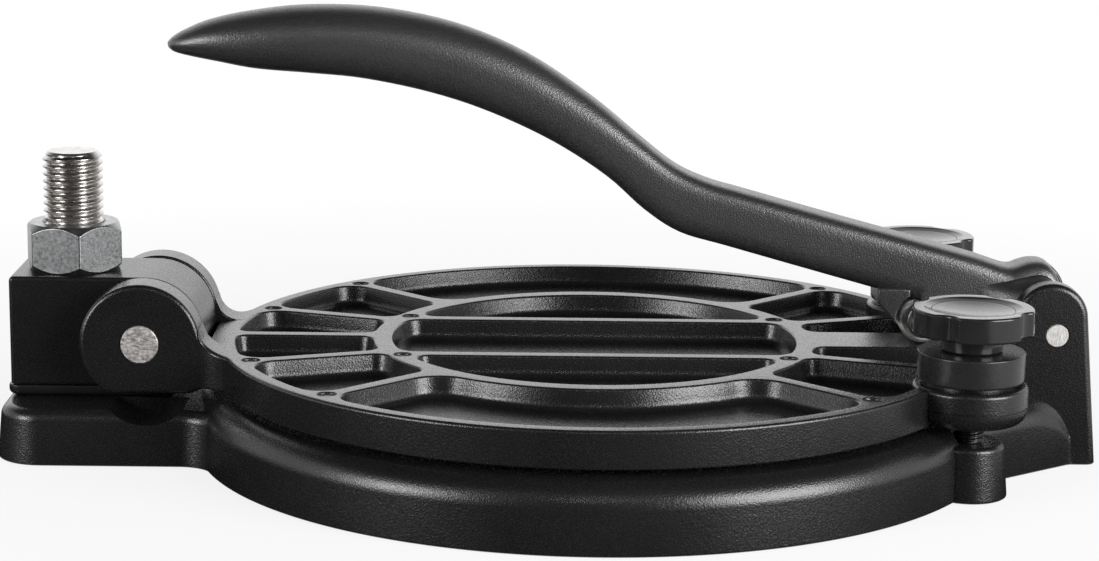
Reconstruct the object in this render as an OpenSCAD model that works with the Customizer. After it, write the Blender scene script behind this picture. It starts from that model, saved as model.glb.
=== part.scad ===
// Tortilla press: cast base plate, hinged upper plate, roller lever, two thickness knobs.
// Millimetres, +Z up. The origin is on the plates' axis, at the table.
// The hinge block is at -X and the lever's pivot is at +X.

/* [Base plate] */
// Radius of the base plate at the table
base_r = 135.1; // [134.5:0.1:136]
// Height of the pressing face above the table
base_h = 22.5; // [22.3:0.1:22.8]
// Radius of the rounded shoulder
shoulder_r = 9; // [3:0.5:10]
// Metal left above the hollow underside
base_skin = 7; // [6:0.5:8]
// Thickness of the base plate's outer wall
base_wall = 8; // [6:0.5:10]
// Radius of the centre foot under the base
foot_r = 16; // [12:1:20]
// Number of ribs under the base
rib_count = 8; // [6:2:12]
// Thickness of the ribs under the base
rib_t = 5; // [4:0.5:6]
// Radius of the stops under the knobs, at the table
stop_r = 12.8; // [12:0.1:13.5]
// Height of the stops under the knobs
stop_h = 17.8; // [17:0.1:17.8]

/* [Hinge pad] */
// Distance from the plates' axis to the pad's free end
pad_end = 199.3; // [198.5:0.1:202]
// Width of the pad
pad_w = 80; // [76:1:84]
// Height of the pad
pad_h = 18.3; // [18:0.1:18.3]
// Corner radius of the pad's free end
pad_corner_r = 16; // [10:1:20]
// Radius of the hollow under each hinge ear
recess_r = 18.2; // [17:0.1:18.6]

/* [Lever pedestal] */
// Width over the two pedestal ears
pedestal_w = 50.8; // [48:0.2:52]
// Gap between the two pedestal ears
pedestal_gap = 36; // [35.6:0.2:37]
// Radius of the ears' round tops
pedestal_top_r = 12.2; // [11.5:0.1:12.6]
// Diameter of the lever pin
lever_pin_d = 8; // [6:0.5:9]

/* [Hinge] */
// Distance from the plates' axis to the hinge pin
hinge_x = 150.7; // [150.5:0.1:151]
// Height of the hinge pin
hinge_z = 39.4; // [39.2:0.1:39.8]
// Diameter of the hinge pin
hinge_pin_d = 13; // [10:0.5:14]
// Width of the hinge block
block_w = 36; // [34:0.5:36.4]
// Height of the block's top above the table
block_top = 59; // [58:0.5:59.4]
// Thickness of the spacer plate under the block
spacer_t = 3.6; // [2:0.1:3.6]
// Distance from the plates' axis to the stud
stud_x = 176.6; // [176:0.1:178]
// Diameter of the stud
stud_d = 20; // [18:0.5:20]
// Height of the stud's end above the table
stud_top = 99; // [92:1:104]
// Width across flats of the stud's nuts
nut_af = 30; // [28:0.5:30]
// Height of the upper nut
nut_h = 16; // [12:0.5:16]

/* [Upper plate] */
// Radius of the upper plate
plate_r = 127; // [126:0.1:127.4]
// Height of the upper plate's pressing face, plates closed
plate_z = 24.6; // [24.2:0.1:24.8]
// Thickness of the upper plate at its rim and ribs
plate_t = 12.1; // [12:0.1:12.3]
// Thickness of the plate's web in the pockets
web_t = 5.1; // [4:0.1:7]
// Width of the outer rim
rim_w = 4.5; // [3.5:0.1:5.5]
// Middle radius of the ring rib
ring_r = 72; // [68:0.5:76]
// Width of the ring rib
ring_w = 5; // [4:0.1:6]
// Width of the straight ribs
spoke_w = 4; // [3:0.1:5]
// Distance from the middle to the two long ribs
long_rib_y = 27.3; // [25:0.1:30]
// Width of the flat seat that the roller runs on
seat_w = 21.4; // [20:0.1:24]
// Outer radius of the hinge ears
ear_r = 20; // [19:0.1:20.4]
// Width over the two hinge ears
ears_w = 64; // [62:0.5:66]
// Gap between the two hinge ears
ears_gap = 38; // [37.6:0.2:39]

/* [Knobs] */
// Distance along X from the plates' axis to the knobs
knob_x = 119; // [118.6:0.1:119.4]
// Distance along Y from the plates' axis to the knobs
knob_y = 62; // [61.5:0.1:62.5]
// Radius of the upper plate's lugs
lug_r = 18.5; // [18:0.1:19]
// Diameter of the adjusting spindles
spindle_d = 10; // [8:0.5:10]
// Radius of the star knobs
knob_r = 19.4; // [18.5:0.1:20]
// Height of the star knob's grip
knob_h = 8.4; // [8:0.1:9]
// Number of lobes on the star knobs
lobes = 4; // [4:1:6]
// Radius of the lock rings
lock_ring_r = 17.2; // [16:0.1:17.6]

/* [Lever] */
// Distance from the plates' axis to the lever's pivot
pivot_x = 153.4; // [153.2:0.1:153.6]
// Height of the lever's pivot
pivot_z = 44.3; // [44.2:0.1:44.4]
// Width of the lever's bar
bar_w = 20; // [18:0.5:21]
// Width of the grip at its widest
grip_w = 29; // [26:0.5:32]
// Width of the hub between the pedestal ears
hub_w = 35.2; // [33:0.1:35.2]
// Diameter of the roller
roller_d = 17; // [16:0.1:17]
// Length of the roller
roller_w = 12; // [10:0.5:12]
// Diameter of the roller's pin
roller_pin_d = 6; // [5:0.5:7]

/* [Hidden] */
$fn = 96;
// Radial clearance of the running fits, and of the clearance holes
run_gap = 0.05;
hole_gap = 0.3;
// How far the base's wall leans in from the table to the shoulder
base_draft = 1.1;
// Inner end of the hinge block's square part, and the spacer's free end and length
block_end = 196;
spacer_end = 197.3;
spacer_l = 56;
// Chamfer on the stud's end, and the lower nut's height above the table and thickness
stud_chamfer = 2;
lock_nut_z = 1;
lock_nut_h = 10;
// Small overlap that joins two pieces of one casting, and overshoot of a cut
join = 0.6;
past = 1;
plate_top = plate_z + plate_t;
pocket_z = plate_z + web_t;
spacer_top = pad_h + spacer_t;
// The hollow under an ear is a cylinder across the pad, with its axis here
recess_x = 148.1;
recess_z = 32;
// Straight-sided end of the base under the pedestal: where it leaves the plate and its end
wedge_x = 125;
wedge_y = 51.2;
wedge_end = 159.5;
base_end = 169;
// The rounded end of the pressing face is an arc about this point, and ends at this height
nose_x = 144;
nose_z = 4.2;
nose_end_z = 15;
// Height above the table at which the ribs under the base start
rib_z = 2;
pedestal_x = 151.5;
pedestal_z = 49.5;
pedestal_foot = 33.4;
// Lugs' boss under the lock rings, and the heights of the knob's stack
boss_r = 14;
ring_z = plate_top + 1.5;
ring_h = 9.5;
neck_z = 47.8;
neck_r = 10;
knob_z = 53.4;
lobe_angle = -80;
notch_r = 6;
notch_depth = 2.2;
// Depth of the knob's bore, and the chamfer on the spindle's foot
knob_bore = 9.6;
spindle_point = 1.5;
cap_r = 13.3;
cap_t = 2.2;
// Hinge ears: height of their flat undersides, and the concave curve down to the plate
ear_flat_z = 22.8;
sweep_r = 9;
sweep_x = 122.4;
arm_end = 118;
arm_fillet_r = 15;
pad_fillet_r = 12;
slot_end = 129.5;
// Roller's axis, and the radius of the cheeks that carry it
roller_x = 111.5;
roller_z = plate_top + 0.3 + roller_d / 2;
cheek_r = 7.5;
cheek_gap = roller_w + 0.6;
roller_room_r = roller_d / 2 + 1.2;
hub_r = 12;
// Higher than any point of the lever
lever_reach = 160;
// Lever seen from the side, [x, z]: tip to pivot along the top, then along the underside
lever_top = [[-144.5, 134.7], [-138, 140.2], [-118, 146.6], [-85, 149.3], [-52, 144.8],
             [-21, 132], [4, 114.8], [24, 98], [40, 90.5], [72, 81.7], [104, 73.1]];
lever_under = [[-144.5, 134.7], [-134, 131.4], [-112, 127.4], [-90, 126], [-68, 123.1],
               [-47, 118], [-26, 110], [-5, 99], [10, 87.6], [22, 76.4], [38, 71.4], [60, 65.2],
               [80, 59.8]];
// Bar's end over the pedestal: the dip, the raised nose, and the underside of the web
lever_nose = [[122, 68.2], [133, 65.1], [140, 62.6], [145, 65.2], [150, 65.4], [153.5, 62.6],
              [157.5, 55], [pivot_x, pivot_z], [142, 40], [128, 46.4], [102, 53.8]];
// The heel ahead of the roller and the neck of the cheeks that carry it
lever_heel = [[95, 58], [95, 51.5], [roller_x, roller_z - 9], [roller_x, 58]];
cheek_neck = [[roller_x - 2, 56], [roller_x - 2, roller_z + 5], [roller_x + 6.4, roller_z - 4],
              [128, 48.4], [128, 58]];
// The hub's broad web between the pedestal ears, seen from the side
hub_web = [[129, 47], [129, 56], [140, 58], [154, 58.5], [pivot_x, pivot_z], [142, 40]];

// Passes a smooth curve through points, with a number of steps between each two
function curve(points, steps) = [
    for (i = [0 : len(points) - 2], s = [0 : steps - 1])
        let (a = points[max(i - 1, 0)], b = points[i], c = points[i + 1])
        let (d = points[min(i + 2, len(points) - 1)], t = s / steps)
        b + t * (c - a) / 2 + t * t * (2 * a - 5 * b + 4 * c - d) / 2
          + t * t * t * (3 * b - a - 3 * c + d) / 2
];
function backwards(points) = [for (i = [len(points) - 1 : -1 : 0]) points[i]];

// Extrudes an outline drawn in X and Z between two Y values
module side_slab(y_low, y_high) {
    translate([0, y_high, 0]) rotate([90, 0, 0]) linear_extrude(y_high - y_low) children();
}

// Puts one child on both sides of the XZ plane
module both_sides() {
    children();
    mirror([0, 1, 0]) children();
}

// Cylinder along Y through a point of the XZ plane
module cross_rod(x, z, r, w) {
    translate([x, w / 2, z]) rotate([90, 0, 0]) cylinder(r = r, h = w);
}

module ring(r_out, r_in, h) {
    difference() {
        cylinder(r = r_out, h = h);
        translate([0, 0, -past]) cylinder(r = r_in, h = h + 2 * past);
    }
}

// Concave corner between the line y = line_y and a disc of radius disc_r at the origin, on the -X side
module plan_fillet(disc_r, line_y, fillet_r) {
    cy = line_y + fillet_r;
    cx = -sqrt(pow(disc_r + fillet_r, 2) - cy * cy);
    k = disc_r / (disc_r + fillet_r);
    difference() {
        polygon([[cx, line_y - join], [cx, line_y], [cx * k, cy * k], [cx * k * 0.9, line_y - join]]);
        translate([cx, cy]) circle(r = fillet_r);
    }
}

// Base plate's outline turned about its axis: drafted wall, round shoulder, flat face
module base_disc() {
    rotate_extrude() {
        polygon([[0, 0], [base_r, 0], [base_r - base_draft, base_h - shoulder_r],
                 [base_r - base_draft - shoulder_r, base_h], [0, base_h]]);
        translate([base_r - base_draft - shoulder_r, base_h - shoulder_r]) circle(r = shoulder_r);
    }
}

module pad_outline() {
    corner_x = -pad_end + pad_corner_r;
    corner_y = pad_w / 2 - pad_corner_r;
    for (s = [-1, 1]) translate([corner_x, s * corner_y]) circle(r = pad_corner_r);
    translate([-pad_end, -corner_y]) square([pad_end - wedge_x, 2 * corner_y]);
    translate([corner_x, -pad_w / 2]) square([pad_end - pad_corner_r - wedge_x, pad_w]);
    plan_fillet(base_r - 0.5, pad_w / 2, pad_fillet_r);
    mirror([0, 1]) plan_fillet(base_r - 0.5, pad_w / 2, pad_fillet_r);
}

module wedge_outline() {
    w = pedestal_w / 2;
    polygon([[wedge_x, -wedge_y], [wedge_end, -w], [base_end, -w], [base_end, w],
             [wedge_end, w], [wedge_x, wedge_y]]);
}

// The rounded end of the pressing face, seen from the side
module wedge_side() {
    translate([nose_x - wedge_x, 0]) square([wedge_x, base_h]);
    translate([nose_x, nose_z]) circle(r = base_h - nose_z);
    translate([nose_x, 0]) square([base_end - nose_x, nose_end_z]);
}

module pedestal_side() {
    shoulder = pedestal_top_r - 0.2;
    translate([pedestal_x, pedestal_z]) circle(r = pedestal_top_r);
    polygon([[pedestal_x - pedestal_foot / 2, 0], [pedestal_x + pedestal_foot / 2, 0],
             [pedestal_x + shoulder, pedestal_z + 1], [pedestal_x - shoulder, pedestal_z + 1]]);
}

// Space under the base, with its ribs and centre foot left standing
module base_hollow() {
    difference() {
        translate([0, 0, -past]) cylinder(r = base_r - base_wall, h = base_h - base_skin + past);
        translate([0, 0, -2 * past]) cylinder(r = foot_r, h = base_h);
        for (i = [0 : rib_count - 1]) rotate(i * 360 / rib_count)
            translate([0, -rib_t / 2, rib_z]) cube([base_r, rib_t, base_h]);
    }
    // Pocket that holds the stud's lower nut
    translate([-stud_x, 0, -past])
        cylinder(r = nut_af / sqrt(3) + 0.3, h = lock_nut_z + lock_nut_h + past, $fn = 6);
}

module base_casting() color("#202123") difference() {
    union() {
        base_disc();
        linear_extrude(pad_h) pad_outline();
        intersection() {
            linear_extrude(base_h) wedge_outline();
            side_slab(-wedge_y, wedge_y) wedge_side();
        }
        both_sides() side_slab(pedestal_gap / 2, pedestal_w / 2) pedestal_side();
        both_sides() translate([knob_x + 0.3, knob_y, 0])
            cylinder(r1 = stop_r, r2 = stop_r - 1.6, h = stop_h);
    }
    base_hollow();
    both_sides() side_slab(block_w / 2 + 0.3, pad_w) translate([-recess_x, recess_z])
        circle(r = recess_r);
    // Room for the spindles above their stops
    both_sides() translate([knob_x, knob_y, stop_h]) cylinder(d = spindle_d + 2.4, h = base_h);
    translate([-stud_x, 0, 0]) cylinder(d = stud_d + hole_gap, h = 3 * pad_h);
    cross_rod(pivot_x, pivot_z, lever_pin_d / 2, pedestal_w + 2 * past);
}

module hinge_block() color("#26272a") difference() {
    side_slab(-block_w / 2, block_w / 2) intersection() {
        union() {
            translate([-block_end, spacer_top])
                square([block_end - hinge_x, block_top - spacer_top]);
            translate([-hinge_x, hinge_z]) circle(r = block_top - hinge_z);
        }
        translate([-block_end, spacer_top]) square([block_end, block_top]);
    }
    cross_rod(-hinge_x, hinge_z, hinge_pin_d / 2 + run_gap, block_w + 2 * past);
    translate([-stud_x, 0, 0]) cylinder(d = stud_d + hole_gap, h = 2 * block_top);
}

module spacer_plate() color("#2d2e31") difference() {
    translate([-spacer_end, -block_w / 2, pad_h]) cube([spacer_l, block_w, spacer_t]);
    translate([-stud_x, 0, 0]) cylinder(d = stud_d + hole_gap, h = 3 * pad_h);
}

module hinge_stud() color("#b9b8b4") translate([-stud_x, 0, 0]) {
    shank = stud_top - stud_chamfer;
    translate([0, 0, lock_nut_z]) cylinder(d = stud_d, h = shank - lock_nut_z);
    translate([0, 0, shank]) cylinder(d1 = stud_d, d2 = stud_d - 2 * stud_chamfer, h = stud_chamfer);
}

module hex_nut(af, h) {
    difference() {
        rotate(-15) cylinder(r = af / sqrt(3), h = h, $fn = 6);
        translate([0, 0, -past]) cylinder(d = stud_d + 2 * run_gap, h = h + 2 * past);
    }
}

module stud_nut() color("#c8c9ca") translate([-stud_x, 0, block_top]) hex_nut(nut_af, nut_h);

module stud_lock_nut() color("#c8c9ca")
    translate([-stud_x, 0, lock_nut_z]) rotate(15) hex_nut(nut_af, lock_nut_h);

module hinge_pin() color("#bdbebf") cross_rod(-hinge_x, hinge_z, hinge_pin_d / 2, ears_w);

// One hinge ear and its arm down to the plate, seen from the side
module ear_side() {
    // From the hinge's axis to where the ear's round turns into the sweep
    meet = ear_r / (ear_r + sweep_r) * [hinge_x - sweep_x, plate_top + sweep_r - hinge_z];
    difference() {
        union() {
            translate([-hinge_x, hinge_z]) circle(r = ear_r);
            polygon([[-hinge_x, plate_z], [-arm_end, plate_z], [-arm_end, plate_top],
                     [-sweep_x, plate_top], [-hinge_x, hinge_z] + meet, [-hinge_x, hinge_z]]);
        }
        translate([-sweep_x, plate_top + sweep_r]) circle(r = sweep_r);
        translate([-hinge_x - ear_r - past, 0]) square([hinge_x, ear_flat_z]);
    }
}

module hinge_ears() {
    inside = plate_r - rim_w;
    difference() {
        union() {
            both_sides() side_slab(ears_gap / 2, ears_w / 2) ear_side();
            translate([-slot_end, -ears_gap / 2 - join, plate_z])
                cube([slot_end - arm_end, ears_gap + 2 * join, plate_t]);
        }
        translate([0, 0, pocket_z]) cylinder(r = inside, h = hinge_x);
        translate([-arm_end - ear_r / 2, -ears_w, 0]) cube([ear_r, 2 * ears_w, plate_z]);
    }
    both_sides() translate([0, 0, plate_z]) linear_extrude(plate_t)
        plan_fillet(plate_r, ears_w / 2, arm_fillet_r);
}

// Ribs on top of the upper plate
module plate_ribs() {
    rib_h = plate_t - web_t + join;
    spoke_len = plate_r - rim_w - ring_r + 1;
    translate([0, 0, pocket_z - join]) {
        ring(plate_r, plate_r - rim_w, rib_h);
        ring(ring_r + ring_w / 2, ring_r - ring_w / 2, rib_h);
        both_sides() intersection() {
            cylinder(r = ring_r, h = rib_h);
            translate([-ring_r, long_rib_y - spoke_w / 2, 0]) cube([2 * ring_r, spoke_w, rib_h]);
        }
        for (a = [-45, 45, 135, 160.4, 180, 199.6, 225, -19.6, 19.6]) rotate(a)
            translate([ring_r, -spoke_w / 2, 0]) cube([spoke_len, spoke_w, rib_h]);
        translate([ring_r, -seat_w / 2, 0]) cube([spoke_len, seat_w, rib_h]);
    }
}

module upper_plate() color("#232427") difference() {
    union() {
        translate([0, 0, plate_z]) cylinder(r = plate_r, h = web_t);
        plate_ribs();
        hinge_ears();
        both_sides() translate([knob_x, knob_y, plate_z]) {
            cylinder(r = lug_r, h = plate_t + 0.3);
            cylinder(r = boss_r, h = ring_z - plate_z);
        }
    }
    both_sides() translate([knob_x, knob_y, 0]) cylinder(d = spindle_d + 2 * run_gap, h = 60);
    cross_rod(-hinge_x, hinge_z, hinge_pin_d / 2, ears_w + 2 * past);
}

module lever_side() {
    polygon(concat(curve(lever_top, 4), lever_nose, backwards(curve(lever_under, 4))));
    translate([roller_x, roller_z]) circle(r = cheek_r);
    polygon(cheek_neck);
    difference() {
        polygon(lever_heel);
        translate([roller_x, roller_z]) circle(r = roller_room_r);
    }
}

// Lever seen from above: leaf-shaped grip and straight bar
module lever_plan() {
    grip_mid = -75;
    grip_half = 69.5;
    outline = [for (i = [0 : 24]) let (u = -1 + i / 12)
        [grip_mid + u * grip_half, bar_w / 2 * pow((u + 1) / 2, 0.3)
         + (grip_w - bar_w) / 2 * (1 - pow(abs(u), 2.2))]];
    top_half = concat(outline, [[base_end, bar_w / 2]]);
    polygon(concat(top_half, [for (p = backwards(top_half)) [p[0], -p[1]]]));
}

// Hub seen from above, widening from the bar to the gap between the pedestal ears
module hub_plan() {
    top_half = [[128, bar_w / 2 - join], [133, bar_w / 2 + 1], [139, bar_w / 2 + 4.5],
                [146, hub_w / 2 - 0.4], [pivot_x, hub_w / 2], [base_end, hub_w / 2]];
    polygon(concat(top_half, [for (p = backwards(top_half)) [p[0], -p[1]]]));
}

module lever() color("#222325") difference() {
    union() {
        intersection() {
            side_slab(-grip_w, grip_w) lever_side();
            linear_extrude(lever_reach) lever_plan();
        }
        intersection() {
            side_slab(-grip_w, grip_w) {
                polygon(hub_web);
                translate([pivot_x, pivot_z]) circle(r = hub_r);
            }
            linear_extrude(lever_reach) hub_plan();
        }
    }
    cross_rod(pivot_x, pivot_z, lever_pin_d / 2 + run_gap, hub_w + 2 * past);
    cross_rod(roller_x, roller_z, roller_pin_d / 2, bar_w + 2 * past);
    cross_rod(roller_x, roller_z, roller_room_r, cheek_gap);
}

module lever_pin() color("#c9cacb") cross_rod(pivot_x, pivot_z, lever_pin_d / 2, pedestal_w);

module roller() color("#c4c5c6") difference() {
    cross_rod(roller_x, roller_z, roller_d / 2, roller_w);
    cross_rod(roller_x, roller_z, roller_pin_d / 2 + run_gap, roller_w + 2 * past);
}

module roller_pin() color("#b4b5b6") cross_rod(roller_x, roller_z, roller_pin_d / 2, bar_w);

module knob(y) {
    notch_at = knob_r + notch_r - notch_depth;
    translate([knob_x, y, 0]) difference() {
        union() {
            translate([0, 0, neck_z]) cylinder(r = neck_r, h = knob_z - neck_z + join);
            translate([0, 0, knob_z]) difference() {
                cylinder(r = knob_r, h = knob_h);
                for (i = [0 : lobes - 1]) rotate(lobe_angle + (i + 0.5) * 360 / lobes)
                    translate([notch_at, 0, -past]) cylinder(r = notch_r, h = knob_h + 2 * past);
            }
        }
        translate([0, 0, knob_z + knob_h - cap_t]) cylinder(r = cap_r + 0.1, h = cap_t + past);
        translate([0, 0, neck_z - past]) cylinder(d = spindle_d + 2 * run_gap, h = knob_bore + past);
    }
}

module knob_cap(y) {
    translate([knob_x, y, knob_z + knob_h - cap_t]) cylinder(r = cap_r, h = cap_t - 0.2);
}

module spindle(y) {
    translate([knob_x, y, stop_h + 0.1]) {
        cylinder(d1 = spindle_d - 2 * spindle_point, d2 = spindle_d, h = spindle_point);
        translate([0, 0, spindle_point])
            cylinder(d = spindle_d, h = neck_z + knob_bore - stop_h - spindle_point - 0.4);
    }
}

module lock_ring(y) {
    translate([knob_x, y, ring_z]) difference() {
        cylinder(r1 = lock_ring_r - 0.2, r2 = lock_ring_r, h = ring_h);
        translate([0, 0, -past]) cylinder(d = spindle_d + 2 * run_gap, h = ring_h + 2 * past);
    }
}

module knob_front() color("#161617") knob(-knob_y);
module knob_rear() color("#161617") knob(knob_y);
module knob_cap_front() color("#1c1c1e") knob_cap(-knob_y);
module knob_cap_rear() color("#1c1c1e") knob_cap(knob_y);
module spindle_front() color("#b4b5b6") spindle(-knob_y);
module spindle_rear() color("#b4b5b6") spindle(knob_y);
module lock_ring_front() color("#1e1e20") lock_ring(-knob_y);
module lock_ring_rear() color("#1e1e20") lock_ring(knob_y);

base_casting();
hinge_block();
spacer_plate();
hinge_stud();
stud_nut();
stud_lock_nut();
hinge_pin();
upper_plate();
lever();
lever_pin();
roller();
roller_pin();
knob_front();
knob_rear();
knob_cap_front();
knob_cap_rear();
spindle_front();
spindle_rear();
lock_ring_front();
lock_ring_rear();
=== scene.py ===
"""Looks of a cast tortilla press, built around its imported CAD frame.

Sizes are in millimetres until a mesh is made. X runs from the hinge block to the lever's pivot,
-Y is the side the user faces, and Z is up from the table.
"""

import math

import bmesh
import bpy
import numpy as np
from mathutils import Matrix, Vector
from mathutils.geometry import delaunay_2d_cdt


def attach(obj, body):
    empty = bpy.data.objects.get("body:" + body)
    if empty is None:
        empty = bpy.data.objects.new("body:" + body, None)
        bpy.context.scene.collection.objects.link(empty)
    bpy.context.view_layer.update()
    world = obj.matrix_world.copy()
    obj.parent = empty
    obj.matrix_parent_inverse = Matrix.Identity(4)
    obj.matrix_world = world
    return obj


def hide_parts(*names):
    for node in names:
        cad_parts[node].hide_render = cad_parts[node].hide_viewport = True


MM = 0.001
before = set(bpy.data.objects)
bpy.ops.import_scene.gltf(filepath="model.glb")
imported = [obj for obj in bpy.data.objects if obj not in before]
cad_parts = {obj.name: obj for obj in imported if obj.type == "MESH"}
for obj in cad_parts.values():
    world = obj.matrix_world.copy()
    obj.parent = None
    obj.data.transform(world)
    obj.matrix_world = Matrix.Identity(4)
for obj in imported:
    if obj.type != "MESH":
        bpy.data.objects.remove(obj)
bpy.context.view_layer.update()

# ---- Sizes shared by several pieces ----

# Base: its disc and rounded shoulder, the hinge pad, and the stops under the knobs
BASE_R, BASE_H, SHOULDER_R = 135.1, 22.5, 9.0
PAD_END, PAD_HALF, PAD_H = 199.3, 40.0, 18.3
STOP_H = 17.8
# Hinge: its pin, the stud, the block and the spacer under the block
HINGE_X, HINGE_Z, HINGE_PIN_R = -150.7, 39.4, 6.5
STUD_X, STUD_R, STUD_TOP = -176.6, 10.0, 99.0
BLOCK_HALF, BLOCK_TOP = 18.0, 59.0
SPACER_TOP = 21.9
# Upper plate: its disc, rim, ring, spokes, two long ribs, and the broad rib that the roller presses
PLATE_R, PLATE_Z, PLATE_TOP, POCKET_Z = 127.0, 24.6, 36.7, 29.7
RIM_W, RING_R, RING_W, SPOKE_W = 4.5, 72.0, 5.0, 4.0
LONG_RIB_Y, SEAT_W = 27.3, 21.4
# Its hinge ears, how their arms sweep down to the disc, and the radii of its edges
EAR_IN, EAR_OUT, EAR_R = 19.0, 32.0, 20.0
SWEEP_X, SWEEP_R, ARM_ROOT = -122.4, 9.0, -114
RIM_EDGE, ARM_EDGE, UNDER_EDGE = 1.1, 1.7, 0.6
# The spokes, by angle, whose outer ends carry ejector marks
MARKED_SPOKES = (45, 135, 225, 315, 160.4, 199.6)
# Knobs: their place, and the levels of lug, lock ring, neck and grip
KNOB_X, KNOB_Y, SPINDLE_R = 119.0, 62.0, 5.0
LUG_TOP, RING_Z, NECK_Z, KNOB_Z, KNOB_TOP = 37.0, 38.2, 47.8, 53.4, 61.8
# A knob's grip: its radius, its finger notches and the angle of one lobe between them
KNOB_R, NOTCHES, NOTCH_R, NOTCH_DEPTH, LOBE_ANGLE = 19.4, 4, 6.0, 2.2, -80
# Lever: its pivot pin and its roller
PIVOT_X, PIVOT_Z, LEVER_PIN_R = 153.4, 44.3, 4.0
ROLLER_X, ROLLER_Z, ROLLER_R, ROLLER_PIN_R = 111.5, 45.5, 8.5, 3.0
# Where the axes stand: (x, z) for those across the press, and (x, y) for the upright ones
HINGE_AT, PIVOT_AT, ROLLER_AT = (HINGE_X, HINGE_Z), (PIVOT_X, PIVOT_Z), (ROLLER_X, ROLLER_Z)
STUD_AT, KNOB_AT = (STUD_X, 0), (KNOB_X, KNOB_Y)
# Threads: how deep one is as a share of its pitch
THREAD_DEPTH = 0.48
# Half the length of a cutter across the press
ACROSS = 30

# ---- Outlines ----


def arc(cx, cy, r, start, end, steps):
    """Points on an arc, both ends included; angles in degrees."""
    turn = np.radians(np.linspace(start, end, steps + 1))
    return [(cx + r * math.cos(a), cy + r * math.sin(a)) for a in turn]


def circle(cx, cy, r, steps):
    return arc(cx, cy, r, 0, 360, steps)[:-1]


def lifted(outline, z):
    """A flat outline at a height."""
    return [(x, y, z) for x, y in outline]


def bearing(v):
    return math.atan2(v[1], v[0])


def quarter(steps):
    """Sines and cosines at even steps over a quarter turn, both ends included."""
    return [(math.sin(a), math.cos(a)) for a in np.linspace(0, math.pi / 2, steps + 1)]


def rectangle(x0, x1, half):
    """Four corners, counter-clockwise and even about the X axis."""
    return [(x0, -half), (x1, -half), (x1, half), (x0, half)]


def hexagon(r, turn=0):
    """A hexagon about the stud, by the radius of its corners and its angle."""
    return [(STUD_X + r * math.cos(a), r * math.sin(a)) for a in np.radians(turn + np.arange(0, 360, 60))]


def rounded(corners, radii, closed=True, steps=6):
    """A polyline with each corner turned into an arc of its own radius."""
    out = []
    n = len(corners)
    for i, (p, r) in enumerate(zip(corners, radii)):
        if r <= 0 or (not closed and i in (0, n - 1)):
            out.append(tuple(p))
            continue
        p = np.array(p, float)
        to_prev = np.array(corners[i - 1], float) - p
        to_next = np.array(corners[(i + 1) % n], float) - p
        to_prev /= np.linalg.norm(to_prev)
        to_next /= np.linalg.norm(to_next)
        half = math.acos(max(-1, min(1, to_prev @ to_next))) / 2
        middle = (to_prev + to_next) / np.linalg.norm(to_prev + to_next)
        centre = p + middle * (r / math.sin(half))
        first = p + to_prev * (r / math.tan(half)) - centre
        last = p + to_next * (r / math.tan(half)) - centre
        a0 = bearing(first)
        swing = (bearing(last) - a0 + math.pi) % math.tau - math.pi
        for k in range(steps + 1):
            a = a0 + swing * k / steps
            out.append((centre[0] + r * math.cos(a), centre[1] + r * math.sin(a)))
    return out


def inset(outline, by):
    """A closed counter-clockwise outline moved inwards."""
    p = np.array(outline, float)
    edge = np.roll(p, -1, 0) - p
    edge /= np.maximum(np.linalg.norm(edge, axis=1), 1e-9)[:, None]
    inward = np.stack([-edge[:, 1], edge[:, 0]], 1)
    before = np.roll(inward, 1, 0)
    share = 1 + (inward * before).sum(1)
    return p + (inward + before) * (by / np.maximum(share, 0.3))[:, None]


def tidy_outline(outline, least=0.02):
    """Drops points that repeat the one before, and makes the outline counter-clockwise."""
    p = [np.array(q, float) for q in outline]
    keep = [q for i, q in enumerate(p) if np.linalg.norm(q - p[i - 1]) > least]
    x, y = np.array(keep).T
    area = (x * np.roll(y, -1) - np.roll(x, -1) * y).sum()
    return keep if area > 0 else keep[::-1]


# ---- Meshes ----


def placed(name, data):
    """A new object in the scene."""
    thing = bpy.data.objects.new(name, data)
    bpy.context.scene.collection.objects.link(thing)
    return thing


def object_from(bm, name):
    bmesh.ops.remove_doubles(bm, verts=bm.verts, dist=1e-6)
    bmesh.ops.recalc_face_normals(bm, faces=bm.faces)
    mesh = bpy.data.meshes.new(name)
    bm.to_mesh(mesh)
    bm.free()
    return placed(name, mesh)


def add_loft(bm, loops, cap_first=True, cap_last=True):
    """Adds a tube through loops of equal length, in millimetres, with flat ends."""
    rows = [[bm.verts.new(Vector(p) * MM) for p in loop] for loop in loops]
    n = len(rows[0])
    for a, b in zip(rows, rows[1:]):
        for i in range(n):
            bm.faces.new((a[i], a[(i + 1) % n], b[(i + 1) % n], b[i]))
    if cap_first:
        bm.faces.new(rows[0][::-1])
    if cap_last:
        bm.faces.new(rows[-1])


def loft(name, loops):
    bm = bmesh.new()
    add_loft(bm, loops)
    return object_from(bm, name)


def eased_levels(low, high, round_low, round_high, steps):
    """How far in, and at what height, each loop of a plate with rounded edges lies."""
    levels = []
    for r, at, way in ((round_low, low, 1), (round_high, high, -1)):
        ring = [(r * (1 - s), at + way * r * (1 - c)) for s, c in quarter(steps)] if r > 0 else [(0.0, at)]
        levels += ring if way > 0 else ring[::-1]
    return levels


def slab(name, outline, low, high, round_low=0.0, round_high=0.0, axis="y", draft=0.0, steps=4):
    """A plate with rounded edges: an outline in XZ thickened along Y, or one in XY along Z."""
    outline = tidy_outline(outline)
    loops = []
    for by, at in eased_levels(low, high, round_low, round_high, steps):
        flat = inset(outline, by + draft * (at - low) / (high - low))
        loops.append([(x, at, z) if axis == "y" else (x, z, at) for x, z in flat])
    return loft(name, loops)


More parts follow.
